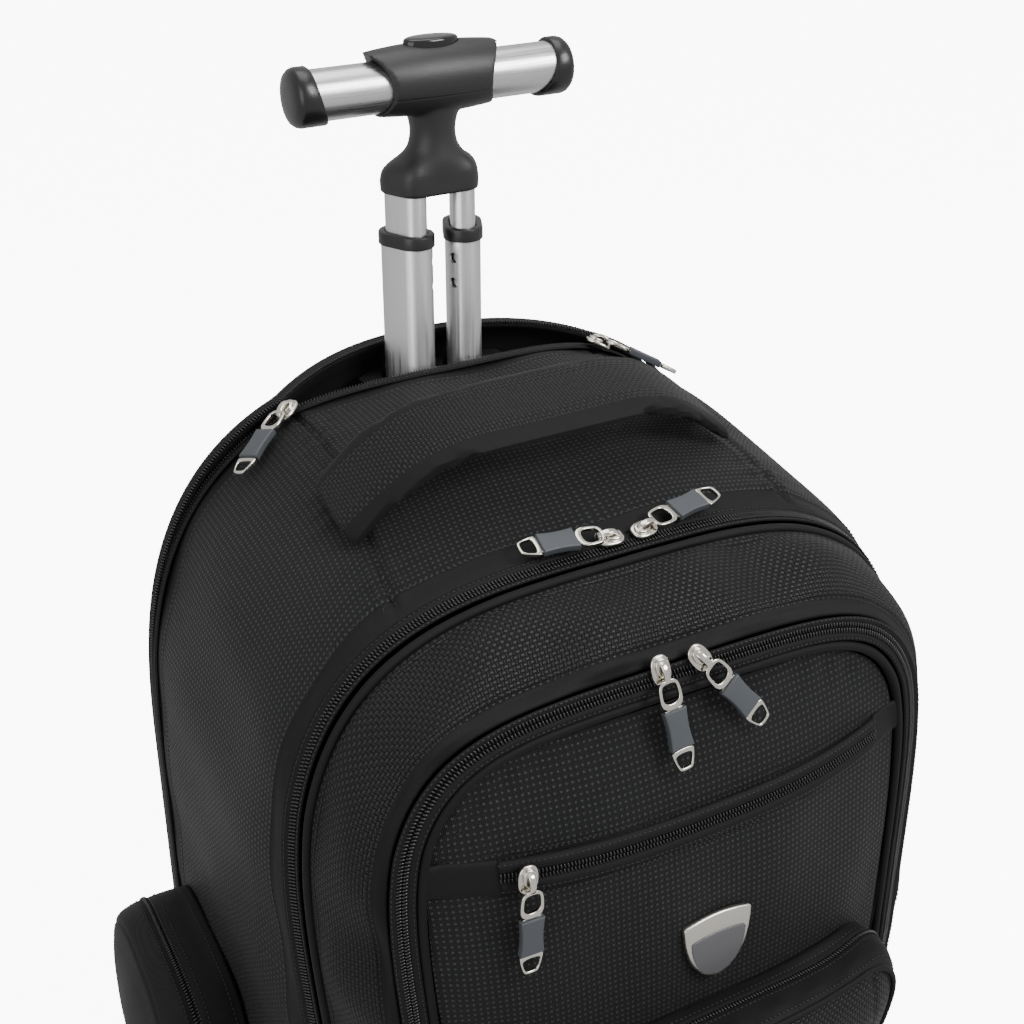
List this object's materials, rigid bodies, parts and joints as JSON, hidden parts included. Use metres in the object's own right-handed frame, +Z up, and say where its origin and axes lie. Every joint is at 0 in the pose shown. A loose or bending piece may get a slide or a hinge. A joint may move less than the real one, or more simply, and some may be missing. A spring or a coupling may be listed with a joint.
{
  "type": "wheeled backpack",
  "caption": "Soft wheeled backpack with stacked zipped front pockets, side pockets, padded straps, two floor wheels and a telescopic T-handle rising from a rear slit.",
  "frame": {"origin": "middle of the bounding box's footprint, on the floor under the wheels and feet", "axes": "+Z up along the T-handle, -Y the front with the pockets, +X the bag's right side in the picture"},
  "size_m": [0.4522, 0.3774, 0.6074],
  "materials": {
    "dobby_nylon": "matte woven",
    "ballistic_nylon": "matte coarse weave",
    "zip_tape": "matte tape",
    "padded_mesh": "matte padded",
    "nickel": "polished nickel",
    "grip_rubber": "satin",
    "aluminium_tube": "satin anodised",
    "black_plastic": "fine grain",
    "tyre_rubber": "matte",
    "axle_steel": "turned"
  },
  "bodies": {
    "bag": {"main_shell": "dobby_nylon", "rear_shell": "dobby_nylon", "back_panel": "padded_mesh", "rear_zip_front_row": "zip_tape", "rear_zip_rear_row": "zip_tape", "carry_handle": "ballistic_nylon", "main_zip": "zip_tape", "main_piping": "zip_tape", "front_gusset": "ballistic_nylon", "pocket_zip": "zip_tape", "pocket_piping": "zip_tape", "front_pocket": "dobby_nylon", "welt_zip": "zip_tape", "lower_pocket": "dobby_nylon", "side_pocket_left": "ballistic_nylon", "side_pocket_right": "ballistic_nylon", "base_tray": "black_plastic", "shoulder_strap_left": "padded_mesh", "strap_webbing_left": "zip_tape", "axle_left": "axle_steel", "shoulder_strap_right": "padded_mesh", "strap_webbing_right": "zip_tape", "axle_right": "axle_steel", "trolley_foot": "black_plastic", "trolley_guide": "black_plastic", "sleeve_left": "aluminium_tube", "sleeve_right": "aluminium_tube", "pull_rear_left": "nickel", "pull_grip_rear_left": "grip_rubber", "pull_rear_right": "nickel", "pull_grip_rear_right": "grip_rubber", "pull_main_left": "nickel", "pull_grip_main_left": "grip_rubber", "pull_main_right": "nickel", "pull_grip_main_right": "grip_rubber", "pull_pocket_left": "nickel", "pull_grip_pocket_left": "grip_rubber", "pull_pocket_right": "nickel", "pull_grip_pocket_right": "grip_rubber", "pull_welt": "nickel", "pull_grip_welt": "grip_rubber", "pull_lower": "nickel", "pull_grip_lower": "grip_rubber", "badge_plate": "nickel", "badge_inset": "grip_rubber"},
    "lower_stage": {"mid_tube_left": "aluminium_tube", "mid_tube_right": "aluminium_tube", "collar_left": "black_plastic", "collar_right": "black_plastic"},
    "upper_stage": {"inner_tube_left": "aluminium_tube", "inner_tube_right": "aluminium_tube", "grip_moulding": "black_plastic", "grip_bar": "aluminium_tube", "end_cap_left": "black_plastic", "end_cap_right": "black_plastic"},
    "release_button": {"release_button": "black_plastic"},
    "wheel_left": {"tyre_left": "tyre_rubber", "hub_left": "black_plastic"},
    "wheel_right": {"tyre_right": "tyre_rubber", "hub_right": "black_plastic"}
  },
  "joints": [
    {"name": "lower_slide", "type": "slide", "parent": "bag", "child": "lower_stage", "axis": [0, 0, 1], "range_m": [-0.066, 0.19]},
    {"name": "upper_slide", "type": "slide", "parent": "lower_stage", "child": "upper_stage", "axis": [0, 0, 1], "range_m": [-0.019, 0.2]},
    {"name": "button_press", "type": "slide", "parent": "upper_stage", "child": "release_button", "axis": [0, 0, 1], "range_m": [-0.0025, 0], "stiffness_N_per_m": 400, "springref_m": 0.002},
    {"name": "wheel_left_spin", "type": "hinge", "parent": "bag", "child": "wheel_left", "pos_m": [-0.14923, 0.10868, 0.036], "axis": [1, 0, 0], "continuous": true},
    {"name": "wheel_right_spin", "type": "hinge", "parent": "bag", "child": "wheel_right", "pos_m": [0.15277, 0.10868, 0.036], "axis": [1, 0, 0], "continuous": true}
  ]
}
